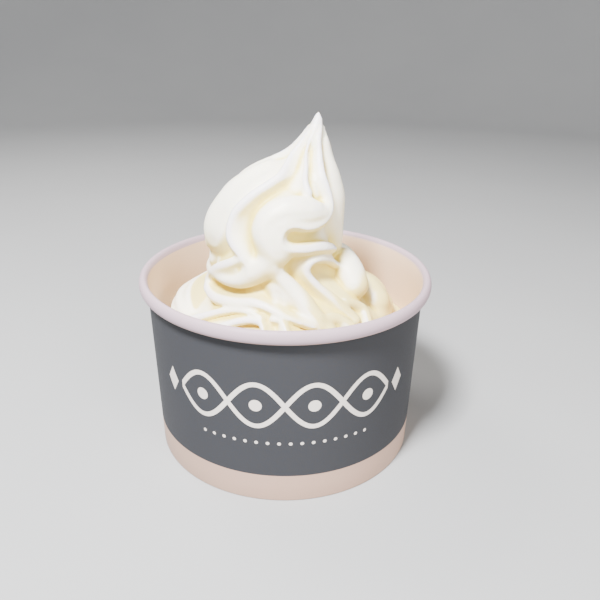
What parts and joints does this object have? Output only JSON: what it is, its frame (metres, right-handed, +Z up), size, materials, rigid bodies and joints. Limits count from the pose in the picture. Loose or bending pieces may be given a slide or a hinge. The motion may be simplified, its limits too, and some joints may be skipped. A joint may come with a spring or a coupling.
{
  "type": "frozen yogurt cup",
  "caption": "Round paper cup with a rolled rim, filled with soft-serve frozen yogurt piped in a fluted swirl that stands above the rim.",
  "frame": {"origin": "centre of the cup's foot, on the surface it stands on", "axes": "+Z up along the cup's axis; -Y towards the viewer, the side the swirl's folds face; +X to the viewer's right, the side the swirl's tip leans to"},
  "size_m": [0.095, 0.095, 0.109],
  "materials": {
    "printed_paper": "slate grey print on coated paperboard, semi-matt, with a bare off-white rim and foot band",
    "plain_paper": "bare off-white coated paperboard",
    "soft_yogurt": "creamy white, soft and faintly glossy, translucent"
  },
  "bodies": {
    "root": {"cup_wall": "printed_paper", "cup_base": "plain_paper", "frozen_yogurt": "soft_yogurt"}
  },
  "joints": []
}
